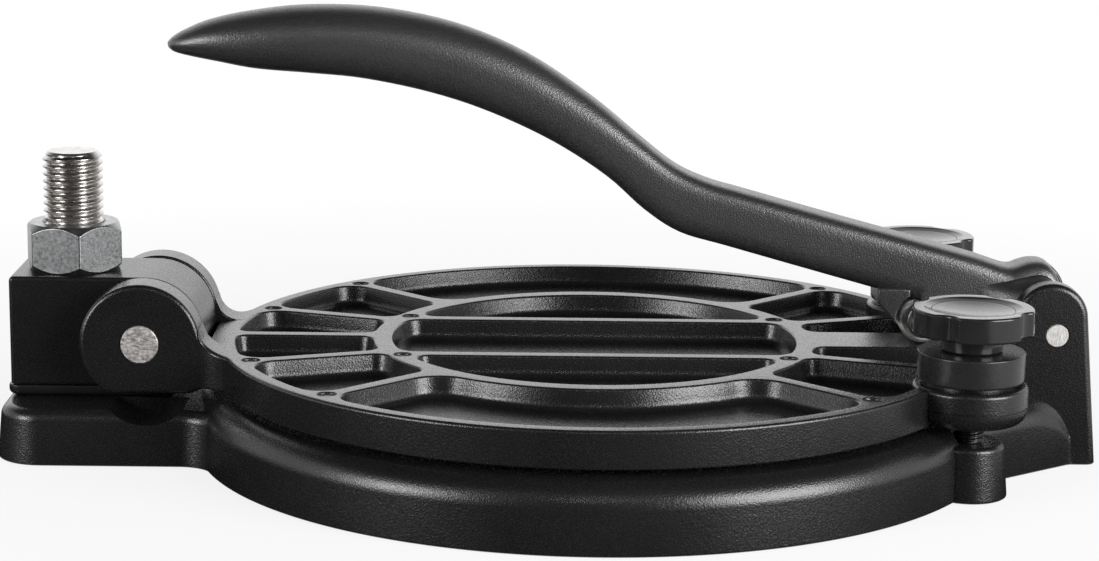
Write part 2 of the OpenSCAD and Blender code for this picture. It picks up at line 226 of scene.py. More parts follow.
def lathe(name, profile, at=(0, 0), steps=96, axis="z"):
    """Turns a profile of (radius, height) about a vertical axis, or about one along Y."""
    turn = np.linspace(0, math.tau, steps, endpoint=False)
    bm = bmesh.new()
    rows = []
    for r, h in profile:
        ring = [(at[0] + math.cos(a) * r, at[1] + math.sin(a) * r) for a in (turn if r > 1e-6 else [0])]
        points = [(u, v, h) if axis == "z" else (u, h, v) for u, v in ring]
        rows.append([bm.verts.new(Vector(p) * MM) for p in points])
    pairs = list(zip(rows, rows[1:]))
    if profile[0][0] > 1e-6:
        pairs.append((rows[-1], rows[0]))
    for a, b in pairs:
        n = max(len(a), len(b))
        for i in range(n):
            j = (i + 1) % n
            corners = [a[i % len(a)], a[j % len(a)], b[j % len(b)], b[i % len(b)]]
            face = list(dict.fromkeys(corners))
            if len(face) > 2:
                bm.faces.new(face)
    return object_from(bm, name)


def turned(name, corners, radii, at=(0, 0), steps=96, axis="z", corner_steps=6):
    """Turns a profile with rounded corners; one that starts on the axis makes a solid."""
    profile = rounded(corners, radii, closed=corners[0][0] > 0, steps=corner_steps)
    return lathe(name, profile, at, steps, axis)


def rod(name, r, low, high, at, axis="y", chamfer=0.0, steps=64):
    """A round bar, with both ends chamfered if asked."""
    ends = [(0, low), (r, low), (r, high), (0, high)]
    if chamfer > 0:
        inner = r - chamfer
        ends = [(0, low), (inner, low), (r, low + chamfer), (r, high - chamfer), (inner, high), (0, high)]
    return lathe(name, ends, at, steps, axis)


def mirrored(piece):
    """A copy of a piece on the other side of the XZ plane."""
    copy = placed(piece.name, piece.data.copy())
    copy.data.transform(Matrix.Diagonal((1, -1, 1, 1)))
    copy.data.flip_normals()
    return copy


def baked(piece):
    """Applies a piece's modifiers."""
    depsgraph = bpy.context.evaluated_depsgraph_get()
    mesh = bpy.data.meshes.new_from_object(piece.evaluated_get(depsgraph), depsgraph=depsgraph)
    piece.modifiers.clear()
    old, piece.data = piece.data, mesh
    bpy.data.meshes.remove(old)
    return piece


def merged(piece, others, operation="UNION"):
    """Joins solids to a piece, cuts them from it, or keeps what they share with it."""
    for other in others:
        step = piece.modifiers.new("join", "BOOLEAN")
        step.solver = "MANIFOLD"
        step.operation = operation
        step.object = other
    baked(piece)
    for other in others:
        bpy.data.objects.remove(other)
    return piece


def cut(piece, cutters):
    return merged(piece, cutters, "DIFFERENCE")


def smooth(piece, name, angle=34, one_flat=False):
    """Smooth shading that keeps real creases; one_flat first joins the facets of each flat face."""
    piece.name = name
    piece.data.name = name
    bm = bmesh.new()
    bm.from_mesh(piece.data)
    bmesh.ops.remove_doubles(bm, verts=bm.verts, dist=4e-6)
    bmesh.ops.dissolve_degenerate(bm, edges=bm.edges, dist=2e-6)
    if one_flat:
        bmesh.ops.dissolve_limit(bm, angle_limit=math.radians(0.15), verts=bm.verts, edges=bm.edges)
    bm.to_mesh(piece.data)
    bm.free()
    piece.data.polygons.foreach_set("use_smooth", [True] * len(piece.data.polygons))
    piece.data.set_sharp_from_angle(angle=math.radians(angle))
    weigh = piece.modifiers.new("normals", "WEIGHTED_NORMAL")
    weigh.keep_sharp = True
    weigh.weight = 80
    return baked(piece)


# ---- Materials ----


def add_node(tree, kind, inputs=None, **settings):
    """A node with its settings, whose inputs are each given a value or linked to a socket."""
    node = tree.nodes.new(kind)
    for key, value in settings.items():
        setattr(node, key, value)
    for key, value in (inputs or {}).items():
        if isinstance(value, bpy.types.NodeSocket):
            tree.links.new(value, node.inputs[key])
        else:
            node.inputs[key].default_value = value
    return node


def math_node(tree, operation, *values):
    return add_node(tree, "ShaderNodeMath", dict(enumerate(values)), operation=operation).outputs[0]


def map_range(tree, source, low, high, from_low=0.0, from_high=1.0):
    inputs = {"Value": source, "From Min": from_low, "From Max": from_high, "To Min": low, "To Max": high}
    return add_node(tree, "ShaderNodeMapRange", inputs).outputs["Result"]


class Nodes:
    """A material's node tree, with short calls to add to it."""

    def __init__(self, name):
        self.material = bpy.data.materials.new(name)
        self.material.use_nodes = True
        self.tree = self.material.node_tree
        self.shader = self.tree.nodes["Principled BSDF"]
        self.place = add_node(self.tree, "ShaderNodeTexCoord").outputs["Object"]

    def link(self, source, name):
        self.tree.links.new(source, self.shader.inputs[name])

    def noise(self, scale, detail=2.0, roughness=0.5, stretch=None):
        place = self.place
        if stretch:
            place = add_node(self.tree, "ShaderNodeMapping", {"Vector": place, "Scale": stretch}).outputs[0]
        inputs = {"Vector": place, "Scale": scale, "Detail": detail, "Roughness": roughness}
        return add_node(self.tree, "ShaderNodeTexNoise", inputs).outputs["Fac"]

    def spread(self, source, low, high, from_low=0.0, from_high=1.0):
        return map_range(self.tree, source, low, high, from_low, from_high)

    def tint(self, source, dark, light):
        inputs = {"Factor": source, "A": (*dark, 1), "B": (*light, 1)}
        mix = add_node(self.tree, "ShaderNodeMix", inputs, data_type="RGBA")
        self.link(mix.outputs["Result"], "Base Color")

    def bump(self, heights):
        """Stacks bumps from (height, strength, distance in metres)."""
        under = {}
        for height, strength, distance in heights:
            inputs = {"Height": height, "Strength": strength, "Distance": distance, **under}
            under = {"Normal": add_node(self.tree, "ShaderNodeBump", inputs).outputs["Normal"]}
        self.link(under["Normal"], "Normal")


def powder_coat(name, dark, light, rough, grain_and_glint, specular):
    """Satin powder coat: fine orange peel, pale flecks in its colour that are painted glints of light, a
    speckle of gloss, and faint rubbed patches.
    """
    m = Nodes(name)
    peel = m.noise(420, 2.0, 0.5)
    fleck = m.noise(1900, 1.0, 0.5)
    patch = m.noise(24, 4.0, 0.6)
    # The pale flecks in the colour are painted glints: they stand in for the sparkle of highlights on the
    # grain.
    pale = m.spread(fleck, 0.0, 1.0, 0.34, 0.76)
    rubbed = m.spread(patch, 0.0, 0.3, 0.35, 0.65)
    m.tint(math_node(m.tree, "MULTIPLY_ADD", pale, 0.7 * grain_and_glint, rubbed), dark, light)
    speckle = 0.06
    m.link(m.spread(fleck, rough + speckle, rough - speckle, 0.35, 0.65), "Roughness")
    m.shader.inputs["Specular IOR Level"].default_value = specular
    m.bump([(peel, 0.1 * grain_and_glint, 0.0002), (fleck, 0.36 * grain_and_glint, 0.00018)])
    return m.material


def steel(name, colour, rough, scratch, scale, strength, mottle=0.2):
    """Bare steel with fine tool marks, which also mottle its colour."""
    m = Nodes(name)
    marks = m.noise(scale, 4.0, 0.65, stretch=scratch)
    m.tint(m.spread(marks, 0.0, 1.0, 0.35, 0.65), tuple(c * (1 - mottle) for c in colour), colour)
    m.shader.inputs["Metallic"].default_value = 1.0
    m.link(m.spread(marks, rough - 0.06, rough + 0.1, 0.3, 0.7), "Roughness")
    m.bump([(marks, strength, 0.0001)])
    return m.material


def moulded(name, colour, rough, wave):
    """Moulded black plastic, with a slow waviness and fine handling marks."""
    m = Nodes(name)
    slow = m.noise(90, 2.0)
    fine = m.noise(900, 3.0, 0.6)
    m.tint(m.spread(slow, 0.0, 1.0, 0.3, 0.7), tuple(c * 0.8 for c in colour), colour)
    m.link(m.spread(fine, rough - 0.03, rough + 0.06, 0.35, 0.7), "Roughness")
    m.shader.inputs["Specular IOR Level"].default_value = 0.4
    m.bump([(slow, wave, 0.0004), (fine, 0.1, 0.0001)])
    return m.material


# Coats: darkest and lightest colour, roughness, strength of the grain and of its painted glints, specular
# level
CAST = powder_coat("cast powder coat", (0.003, 0.003, 0.0035), (0.012, 0.012, 0.0125), 0.27, 1.25, 0.5)
LEVER_COAT = powder_coat("lever powder coat", (0.005, 0.005, 0.0053), (0.026, 0.026, 0.0267), 0.36, 1.8, 1.0)
BLOCK_COAT = powder_coat("block coat", (0.006, 0.006, 0.0065), (0.012, 0.012, 0.0125), 0.3, 0.2, 0.35)
SPACER_COAT = powder_coat("spacer coat", (0.006, 0.006, 0.0065), (0.012, 0.012, 0.0125), 0.34, 0.4, 0.4)
# Steels: colour, roughness, then the tool marks' stretch, scale, depth and mottling
THREAD_STEEL = steel("turned thread steel", (0.47, 0.45, 0.435), 0.28, (1, 1, 6), 300, 0.02, 0.1)
CUT_STEEL = steel("sawn pin steel", (0.90, 0.86, 0.84), 0.5, (1, 0.2, 2), 600, 0.6, 0.5)
PIN_STEEL = steel("ground pin steel", (0.75, 0.73, 0.71), 0.5, (6, 1, 1), 500, 0.6, 0.3)
ROLLER_STEEL = steel("turned roller steel", (0.9, 0.88, 0.86), 0.45, (1, 6, 1), 500, 0.15)
ZINC = steel("zinc plate", (0.3, 0.306, 0.309), 0.33, (1, 1, 1), 900, 0.03, 0.08)
SPINDLE_STEEL = steel("dark spindle steel", (0.08, 0.08, 0.08), 0.35, (1, 1, 1), 300, 0.1)
# Plastics: colour, roughness and depth of the waviness
KNOB_PLASTIC = moulded("knob plastic", (0.014, 0.014, 0.0145), 0.14, 0.05)
CAP_PLASTIC = moulded("cap plastic", (0.012, 0.012, 0.0125), 0.16, 0.03)
RING_PLASTIC = moulded("lock ring plastic", (0.014, 0.014, 0.0145), 0.28, 0.05)


def dress(piece, material, body, slot, *nodes):
    """Gives a piece its material, hangs it on the body it rides on, and hides the CAD nodes it stands for.
    """
    piece.data.materials.clear()
    piece.data.materials.append(material)
    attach(piece, body)
    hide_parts(*nodes)
    return piece


def stud_hole(slack=0.25, low=0, high=80):
    """A cutter for the hole that the stud stands in."""
    return rod("stud hole", STUD_R + slack, low, high, STUD_AT, "z")


# ---- Base casting ----


def base_casting():
    """A hollow disc on a rim, a centre foot and ribs, with its pad, pedestal and knob stops."""
    wall, skin, foot = 8.0, 15.5, 16.0
    inner = BASE_R - wall
    corners = [(0, 0), (foot, 0), (foot - 0.6, skin), (inner - 0.8, skin), (inner, 0),
               (BASE_R, 0), (BASE_R - 1.1, BASE_H), (0, BASE_H)]
    radii = [0, 1.0, 3.0, 3.0, 0.8, 0.8, SHOULDER_R, 0]
    base = turned("base", corners, radii, steps=256, corner_steps=9)
    parts = []
    ribs, rib_half, rib_low = 8, 2.5, 2.0
    for i in range(ribs):
        outline = rectangle(foot - 3, inner + 2, rib_half)
        rib = slab("rib", outline, rib_low, skin + 2, round_low=1.2, axis="z")
        rib.data.transform(Matrix.Rotation(math.radians(i * 360 / ribs), 4, "Z"))
        parts.append(rib)
    parts += [pad(), wedge()]
    ear_in, ear_out = 18.0, 25.4
    ear = slab("pedestal ear", pedestal_outline(), ear_in, ear_out, 0.8, 2.2)
    parts += [ear, mirrored(ear)]
    stop_foot_r, stop_r, stop_x = 12.8, 11.2, KNOB_X + 0.3
    corners = [(0, 0), (stop_foot_r, 0), (stop_r, STOP_H), (0, STOP_H)]
    stop = turned("stop", corners, [0, 0.8, 1.8, 0], (stop_x, KNOB_Y))
    parts += [stop, mirrored(stop)]
    merged(base, parts)
    room = rod("spindle room", SPINDLE_R + 1.2, STOP_H, 30, KNOB_AT, "z")
    recess_r, recess_at = 18.2, (-148.1, 32.0)
    recess = rod("ear recess", recess_r, BLOCK_HALF + 0.3, 60, recess_at, steps=128)
    pocket_r, pocket_top = 17.6, 11
    pocket = slab("nut pocket", hexagon(pocket_r), -1, pocket_top, axis="z")
    pin_bore = rod("pin bore", LEVER_PIN_R + 0.12, -ACROSS, ACROSS, PIVOT_AT)
    cut(base, [room, mirrored(room), recess, mirrored(recess), pocket, pin_bore, stud_hole(0.15, -2, 30)])
    return dress(smooth(base, "base_casting_body"), CAST, "base", "cast_black", "base_casting")


def pad():
    """The hinge pad, with its concave corners into the disc."""
    corner, fillet, root_x = 16.0, 12.0, -105.0
    cy = PAD_HALF + fillet
    cx = -math.sqrt((BASE_R - 0.5 + fillet) ** 2 - cy ** 2)
    aim = math.degrees(math.atan2(cy, -cx))
    upper = arc(-PAD_END + corner, PAD_HALF - corner, corner, 180, 90, 10)
    upper += arc(cx, cy, fillet, -90, -aim, 10)
    upper += [(root_x, PAD_HALF)]
    outline = upper + [(x, -y) for x, y in reversed(upper)]
    return slab("pad", outline, 0, PAD_H, 0.6, 3.6, axis="z", draft=1.6, steps=6)


def wedge():
    """The end of the base: it narrows to the pedestal's width, and its top rolls down past the pivot."""
    start, flare, knee, end = 108.0, 125.0, 159.5, 168.2
    start_half, flare_half, end_half = 61.2, 51.2, 25.4
    nose_x, nose_z, nose_r, end_top = 144.0, 4.2, 18.28, 14.2
    edge, foot, shoulder, lean = 3.0, 0.6, 7.0, 1.5
    stations = [(x, 0.0) for x in np.linspace(start, end - edge, 44)]
    stations += [(end - edge + edge * s, edge * (1 - c)) for s, c in quarter(5)[1:]]
    loops = []
    for x, by in stations:
        halves = [start_half, flare_half, end_half, end_half]
        half = float(np.interp(x, [start, flare, knee, end], halves)) - by
        top = BASE_H - 0.02
        if x > nose_x:
            top = max(end_top, nose_z + math.sqrt(max(nose_r ** 2 - (x - nose_x) ** 2, 0)))
        top -= by
        r = min(shoulder, top - foot - 1)
        side = [(half - foot, 0), (half, foot)]
        side += [(half - r + r * c, top - r + r * s) for s, c in quarter(8)]
        shift = lean * max(0.0, (x - knee) / (end - knee))
        ring = side + [(-y, z) for y, z in reversed(side)]
        loops.append([(x - shift * z / end_top, y, z) for y, z in ring])
    return loft("wedge", loops)


def pedestal_outline():
    """An ear of the lever's pedestal: a round top on a spreading foot."""
    cx, cz, r, spread, foot_z, flank = 151.5, 49.5, 12.2, 16.7, 0.4, 3
    round_top = arc(cx, cz, r, flank, 180 - flank, 28)
    return [(cx + spread, foot_z)] + round_top + [(cx - spread, foot_z)]


# ---- Upper plate ----


def corner_point(edge, other, leaving):
    """Where a line edge meets a circle edge, going round the pocket counter-clockwise."""
    nx, ny, c = edge[1:]
    kind, r = other[:2]
    reach = math.sqrt(r * r - c * c) * (1 if leaving == (kind == "in") else -1)
    return np.array([c * nx + reach * ny, c * ny - reach * nx])


def outward(edge, point):
    if edge[0] == "line":
        return -np.array(edge[1:3])
    away = point / np.linalg.norm(point)
    return away if edge[0] == "in" else -away


def ray_line(angle, half, side):
    """The edge of a straight rib at an angle: side 1 is its counter-clockwise side."""
    a = math.radians(angle)
    return ("line", -math.sin(a) * side, math.cos(a) * side, half)


def pockets():
    """Every pocket of the upper plate as (edges, corner radii)."""
    inner, outer = RING_R + RING_W / 2, PLATE_R - RIM_W
    rib = SPOKE_W / 2
    spokes = (19.6, 45, 135, 160.4, 180, 199.6, 225, 315, 340.4)
    rays = [(0, SEAT_W / 2)] + [(a, rib) for a in spokes] + [(360, SEAT_W / 2)]
    plain_r, marked_r, short_r, long_r, middle_r = 5.0, 9.0, 6.0, 13.0, 8.0
    long_span = 60
    out = []
    for (a0, w0), (a1, w1) in zip(rays, rays[1:]):
        rim_radii = [marked_r if a in MARKED_SPOKES else plain_r for a in (a0, a1)]
        near = long_r if a1 - a0 > long_span else short_r
        out.append(([ray_line(a0, w0, 1), ("in", outer), ray_line(a1, w1, -1), ("out", inner)],
                    rim_radii + [near, near]))
    core, edge = RING_R - RING_W / 2, LONG_RIB_Y + rib
    for way in (1, -1):
        out.append(([("line", 0, way, edge), ("in", core)], [plain_r] * 2))
    bar = -(LONG_RIB_Y - rib)
    out.append(([("line", 0, 1, bar), ("in", core), ("line", 0, -1, bar), ("in", core)], [middle_r] * 4))
    return out


def with_counts(edges):
    """Fixes how many points each arc gets, so that every loop of a pocket has the same number."""
    spacing = 3.0
    fixed = []
    for e in edges:
        count = () if e[0] == "line" else (max(4, round(arc_share(edges, e) * e[1] / spacing)),)
        fixed.append(e + count)
    return fixed


def arc_share(edges, arc_edge):
    """Angle that an arc edge spans, from the lines before and after it."""
    i = edges.index(arc_edge)
    before, after = edges[i - 1], edges[(i + 1) % len(edges)]
    p = corner_point(before, arc_edge, True)
    q = corner_point(after, arc_edge, False)
    sweep = bearing(q) - bearing(p)
    return sweep % math.tau if arc_edge[0] == "in" else (-sweep) % math.tau


def ribbed_disc():
    """The upper plate's disc: a flat top with drafted pockets and shallow ejector marks."""
    bm = bmesh.new()
    lip, draft, fillet = 0.8, 0.7, 2.9
    wall = [(lip * s, PLATE_TOP - lip * (1 - c)) for s, c in quarter(3)]
    wall += [(lip + draft, POCKET_Z + fillet)]
    wall += [(lip + draft + fillet * (1 - c), POCKET_Z + fillet * (1 - s)) for s, c in quarter(5)[1:]]
    top_loops = []
    for edges, radii in pockets():
        edges = with_counts(edges)
        loops = [pocket_loop(edges, radii, by) for by, _ in wall]
        add_loft(bm, [lifted(loop, z) for loop, (_, z) in zip(loops, wall)], cap_first=False)
        top_loops.append(loops[0])
    mark_r, dent = 3.3, [(0.0, 0.0), (0.25, 0.25), (0.4, 0.7)]
    for x, y in marks():
        loops = [lifted(circle(x, y, mark_r - by, 24), PLATE_TOP - deep) for by, deep in dent]
        add_loft(bm, loops, cap_first=False)
        top_loops.append([p[:2] for p in loops[0]])
    side = [(PLATE_R - RIM_EDGE * (1 - s), PLATE_TOP - RIM_EDGE * (1 - c)) for s, c in quarter(4)]
    side += [(PLATE_R - UNDER_EDGE * (1 - c), PLATE_Z + UNDER_EDGE * (1 - s)) for s, c in quarter(4)]
    rings = [lifted(circle(0, 0, r, 256), z) for r, z in side]
    add_loft(bm, rings, cap_first=False)
    top_loops.append([p[:2] for p in rings[0]])
    add_flat_top(bm, top_loops)
    return object_from(bm, "ribbed disc")


def pocket_loop(edges, radii, by):
    """A pocket's outline, moved inwards. Its edges are lines (normal, offset) and arcs about the origin."""
    line_steps, corner_steps, least_r = 6, 7, 0.4
    count = len(edges)
    corners = []
    for i in range(count):
        r = max(radii[i] - by, least_r)
        pair = []
        for e in (edges[i], edges[(i + 1) % count]):
            if e[0] == "line":
                pair.append(("line", e[1], e[2], e[3] + by + r))
            else:
                pair.append((e[0], e[1] + (by + r) * (-1 if e[0] == "in" else 1)))
        line_first = pair[0][0] == "line"
        line, circle = pair if line_first else pair[::-1]
        corners.append((corner_point(line, circle, line_first), r))
    out = []
    for i in range(count):
        edge, follow = edges[i], edges[(i + 1) % count]
        (centre, r), (start, start_r) = corners[i], corners[i - 1]
        first, last = start + outward(edge, start) * start_r, centre + outward(edge, centre) * r
        if edge[0] == "line":
            out += [first + (last - first) * k / line_steps for k in range(1, line_steps)]
        else:
            a0 = bearing(first)
            sweep = bearing(last) - a0
            sweep = sweep % math.tau if edge[0] == "in" else -((-sweep) % math.tau)
            steps, radius = edge[2], np.linalg.norm(first)
            turn = [a0 + sweep * k / steps for k in range(1, steps)]
            out += [np.array((math.cos(a), math.sin(a))) * radius for a in turn]
        b0 = bearing(outward(edge, centre))
        swing = (bearing(outward(follow, centre)) - b0) % math.tau
        turn = [b0 + swing * k / corner_steps for k in range(corner_steps + 1)]
        out += [centre + r * np.array((math.cos(b), math.sin(b))) for b in turn]
    return out


def marks():
    """Where the ejector marks are: four on the ring, and one at the end of each marked spoke."""
    ring_x, ring_y, far = 64.0, 29.8, 120.2
    out = [(sx * ring_x, sy * ring_y) for sx in (1, -1) for sy in (1, -1)]
    return out + [(far * math.cos(a), far * math.sin(a)) for a in np.radians(MARKED_SPOKES)]


def add_flat_top(bm, loops):
    """Fills the flat face between the last loop and all the others."""
    points, edges = [], []
    for loop in loops:
        start = len(points)
        points += [Vector((float(x), float(y))) for x, y in loop]
        edges += [(start + i, start + (i + 1) % len(loop)) for i in range(len(loop))]
    verts, _, faces, *_ = delaunay_2d_cdt(points, edges, [], 0, 1e-5)
    flat = np.array([(v.x, v.y) for v in verts])
    made = [bm.verts.new(Vector((x, y, PLATE_TOP)) * MM) for x, y in flat]
    middles = np.array([flat[list(f)].mean(0) for f in faces])
    keep = inside(middles, np.array(loops[-1]))
    for loop in loops[:-1]:
        keep &= ~inside(middles, np.array(loop))
    for f, good in zip(faces, keep):
        if good:
            bm.faces.new([made[i] for i in f])


def inside(points, outline):
    """Which points lie inside an outline."""
    hit = np.zeros(len(points), bool)
    for (x0, y0), (x1, y1) in zip(outline, np.roll(outline, -1, 0)):
        if y0 == y1:
            continue
        spans = (y0 > points[:, 1]) != (y1 > points[:, 1])
        hit ^= spans & (points[:, 0] < (x1 - x0) * (points[:, 1] - y0) / (y1 - y0) + x0)
    return hit


def ear_outline():
    """A hinge ear and its arm, seen from the side."""
    flat, flat_end, rise_end, skin = 22.8, -134, -130, 0.02
    low, high = PLATE_Z + skin, PLATE_TOP - skin
    meet = math.degrees(math.atan2(PLATE_TOP + SWEEP_R - HINGE_Z, SWEEP_X - HINGE_X))
    drop = math.degrees(math.asin((HINGE_Z - flat) / EAR_R))
    points = arc(*HINGE_AT, EAR_R, meet, 180 + drop, 44)
    points += [(flat_end, flat), (rise_end, low), (ARM_ROOT, low), (ARM_ROOT, high)]
    points += arc(SWEEP_X, high + SWEEP_R, SWEEP_R, 270, 180 + meet, 10)
    return points


def arm_height(x):
    """How high the top of an arm is where it sweeps down to the plate."""
    run = min(max(SWEEP_X - x, 0.0), SWEEP_R - 0.05)
    return PLATE_TOP + SWEEP_R - math.sqrt(SWEEP_R ** 2 - run ** 2)


def arm_corner():
    """The web that spreads from an arm to the rim: its edge flows down the sweep and into the rim's edge."""
    top_x = -131.3
    fillet = (top_x ** 2 + EAR_OUT ** 2 - PLATE_R ** 2) / (2 * (PLATE_R - EAR_OUT))
    cy = EAR_OUT + fillet
    span = math.pi / 2 - math.atan2(cy, -top_x)
    depth, low = 13.0, PLATE_Z + 0.01
    loops = []
    for t in np.linspace(0, span, 18):
        x, y = top_x + fillet * math.sin(t), cy - fillet * math.cos(t)
        edge = ARM_EDGE + (RIM_EDGE - ARM_EDGE) * t / span
        ring = [(depth, low)] + [(UNDER_EDGE * (1 - s), low + UNDER_EDGE * (1 - c)) for s, c in quarter(3)]
        section = [(x + u * math.sin(t), y - u * math.cos(t), z) for u, z in ring]
        top = [(edge * (1 - c), edge * (1 - s)) for s, c in quarter(5)]
        top += [(u, 0.0) for u in (3.0, 4.5, 6.5, 9.0, depth)]
        for u, drop in top:
            px = x + u * math.sin(t)
            section.append((px, y - u * math.cos(t), arm_height(px) - drop + 0.015))
        loops.append(section)
    return loft("corner", loops)


def hinge_arms():
    """Both arms, the web between them and the corners outside them, kept out of the pockets.

    Offsets of 0.01 to 0.03 keep the faces of solids that are joined from coinciding.
    """
    arm = slab("arm", ear_outline(), EAR_IN, EAR_OUT, 0.8, ARM_EDGE)
    web = slab("web", rectangle(-129.5, ARM_ROOT, EAR_IN + 2), PLATE_Z + 0.03, PLATE_TOP - 0.03, axis="z")
    corner = arm_corner()
    far_arm, arms = mirrored(arm), mirrored(corner)
    merged(arms, [web, arm, far_arm, corner])
    room = rod("pocket room", PLATE_R - RIM_W + 0.15, 15, 60, (0, 0), "z", steps=256)
    return cut(arms, [room])


def upper_plate():
    plate = ribbed_disc()
    lug_r, seat_r, split, groove, groove_h = 18.4, 14, 30.2, 0.28, 0.35
    corners = [(0, PLATE_Z), (lug_r - 0.1, PLATE_Z), (lug_r, split), (lug_r - groove, split + 0.1),
               (lug_r - groove, split + 0.1 + groove_h), (lug_r + 0.1, split + 0.6), (lug_r + 0.02, LUG_TOP),
               (seat_r, LUG_TOP), (seat_r, RING_Z), (0, RING_Z)]
    lug = turned("lug", corners, [0, 4.5, 0, 0, 0, 0, 1.4, 0, 0.4, 0], KNOB_AT)
    merged(plate, [hinge_arms(), lug, mirrored(lug)])
    bore = rod("spindle bore", SPINDLE_R + 0.15, 10, 60, KNOB_AT, "z")
    reach = EAR_OUT + 8
    pin_bore = rod("pin bore", HINGE_PIN_R + 0.12, -reach, reach, HINGE_AT)
    cut(plate, [bore, mirrored(bore), pin_bore])
    return dress(smooth(plate, "upper_plate_body"), CAST, "upper_plate", "cast_black", "upper_plate")


# ---- Hinge ----


def hinge_block():
    """A block with a flat back and top, and a round nose about the hinge pin."""
    left, top_r, foot_r = -196.0, 1.6, 1.2
    nose_r = BLOCK_TOP - HINGE_Z
    drop = math.degrees(math.asin((HINGE_Z - SPACER_TOP) / nose_r))
    outline = arc(left + top_r, BLOCK_TOP - top_r, top_r, 90, 180, 5)
    outline += arc(left + foot_r, SPACER_TOP + foot_r, foot_r, 180, 270, 4)
    outline += arc(*HINGE_AT, nose_r, -drop, 90, 40)
    block = slab("block", outline, -BLOCK_HALF, BLOCK_HALF, 1.3, 1.3)
    pin_bore = rod("pin bore", HINGE_PIN_R + 0.06, -ACROSS, ACROSS, HINGE_AT)
    cut(block, [pin_bore, stud_hole()])
    smooth(block, "hinge_block_body", one_flat=True)
    return dress(block, BLOCK_COAT, "base", "cast_black", "hinge_block")


def spacer_plate():
    outline = rounded(rectangle(-197.2, -141.4, BLOCK_HALF), [4, 2, 2, 4])
    plate = slab("spacer", outline, PAD_H + 0.02, SPACER_TOP - 0.02, 1.8, 0.5, axis="z")
    cut(plate, [stud_hole()])
    return dress(smooth(plate, "spacer_plate_body"), SPACER_COAT, "base", "cast_black", "spacer_plate")


def nut(node, body, z, height, turn):
    """A hexagon nut on the stud, with both faces chamfered and its edges eased."""
    across, lean, top = 30.0, 3.0, z + height
    outline = rounded(hexagon(across / math.sqrt(3), turn), [0.8] * 6, steps=4)
    solid = slab("nut", outline, z, top, axis="z")
    face = across / 2 - 0.4
    wide = face + lean
    cone = [(0, z), (face, z), (wide, z + lean), (wide, top - lean), (face, top), (0, top)]
    merged(solid, [lathe("nut cone", cone, STUD_AT, 128)], "INTERSECT")
    bore, mouth, deep = STUD_R + 0.06, STUD_R + 1.6, 0.9
    hole = [(0, z - 1), (mouth, z - 1), (bore, z + deep), (bore, top - deep), (mouth, top + 1), (0, top + 1)]
    cut(solid, [lathe("nut hole", hole, STUD_AT)])
    ease = solid.modifiers.new("ease", "BEVEL")
    ease.width = 0.4 * MM
    ease.segments = 2
    ease.angle_limit = math.radians(24)
    baked(solid)
    return dress(smooth(solid, f"{node}_hex", 30), ZINC, body, "zinc_steel", node)


def thread_tree():
    """A screw thread: a cylinder whose wall follows a helix, with its far end chamfered."""
    tree = bpy.data.node_groups.new("screw thread", "GeometryNodeTree")
    kinds = {"Radius": "Float", "Pitch": "Float", "Depth": "Float", "Length": "Float", "Chamfer": "Float",
             "Rows": "Int", "Place": "Vector", "Metal": "Material"}
    sockets = {name: tree.interface.new_socket(name=name, in_out="INPUT", socket_type="NodeSocket" + kind)
               for name, kind in kinds.items()}
    tree.interface.new_socket(name="Mesh", in_out="OUTPUT", socket_type="NodeSocketGeometry")
    given = add_node(tree, "NodeGroupInput").outputs

    def calc(operation, *values):
        return math_node(tree, operation, *values)

    inputs = {"Vertices": 72, "Side Segments": given["Rows"], "Radius": given["Radius"],
              "Depth": given["Length"]}
    bar = add_node(tree, "GeometryNodeMeshCylinder", inputs, fill_type="TRIANGLE_FAN")
    spot = add_node(tree, "GeometryNodeInputPosition")
    x, y, z = add_node(tree, "ShaderNodeSeparateXYZ", {0: spot.outputs[0]}).outputs
    turn = calc("DIVIDE", calc("ARCTAN2", y, x), math.tau)
    phase = calc("FRACT", calc("SUBTRACT", calc("DIVIDE", z, given["Pitch"]), turn))
    ridge = calc("ABSOLUTE", calc("SUBTRACT", calc("MULTIPLY", phase, 2.0), 1.0))
    root_width, slope = 0.2, 1.55
    crest = calc("MULTIPLY", calc("SUBTRACT", ridge, root_width), slope)
    crest = calc("MINIMUM", calc("MAXIMUM", crest, 0.0), 1.0)
    root = calc("SUBTRACT", given["Radius"], given["Depth"])
    radius = calc("ADD", root, calc("MULTIPLY", crest, given["Depth"]))
    to_end = calc("SUBTRACT", calc("DIVIDE", given["Length"], 2.0), z)
    limit = calc("ADD", calc("SUBTRACT", given["Radius"], given["Chamfer"]), to_end)
    scale = calc("DIVIDE", calc("MINIMUM", radius, limit), given["Radius"])
    shaped = {0: calc("MULTIPLY", x, scale), 1: calc("MULTIPLY", y, scale), 2: z}
    inputs = {"Geometry": bar.outputs["Mesh"], "Offset": given["Place"],
              "Position": add_node(tree, "ShaderNodeCombineXYZ", shaped).outputs[0]}
    move = add_node(tree, "GeometryNodeSetPosition", inputs)
    real = add_node(tree, "GeometryNodeRealizeInstances", {0: move.outputs[0]})
    inputs = {"Geometry": real.outputs[0], "Material": given["Metal"]}
    paint = add_node(tree, "GeometryNodeSetMaterial", inputs)
    add_node(tree, "NodeGroupOutput", {0: paint.outputs[0]})
    return tree, {name: socket.identifier for name, socket in sockets.items()}


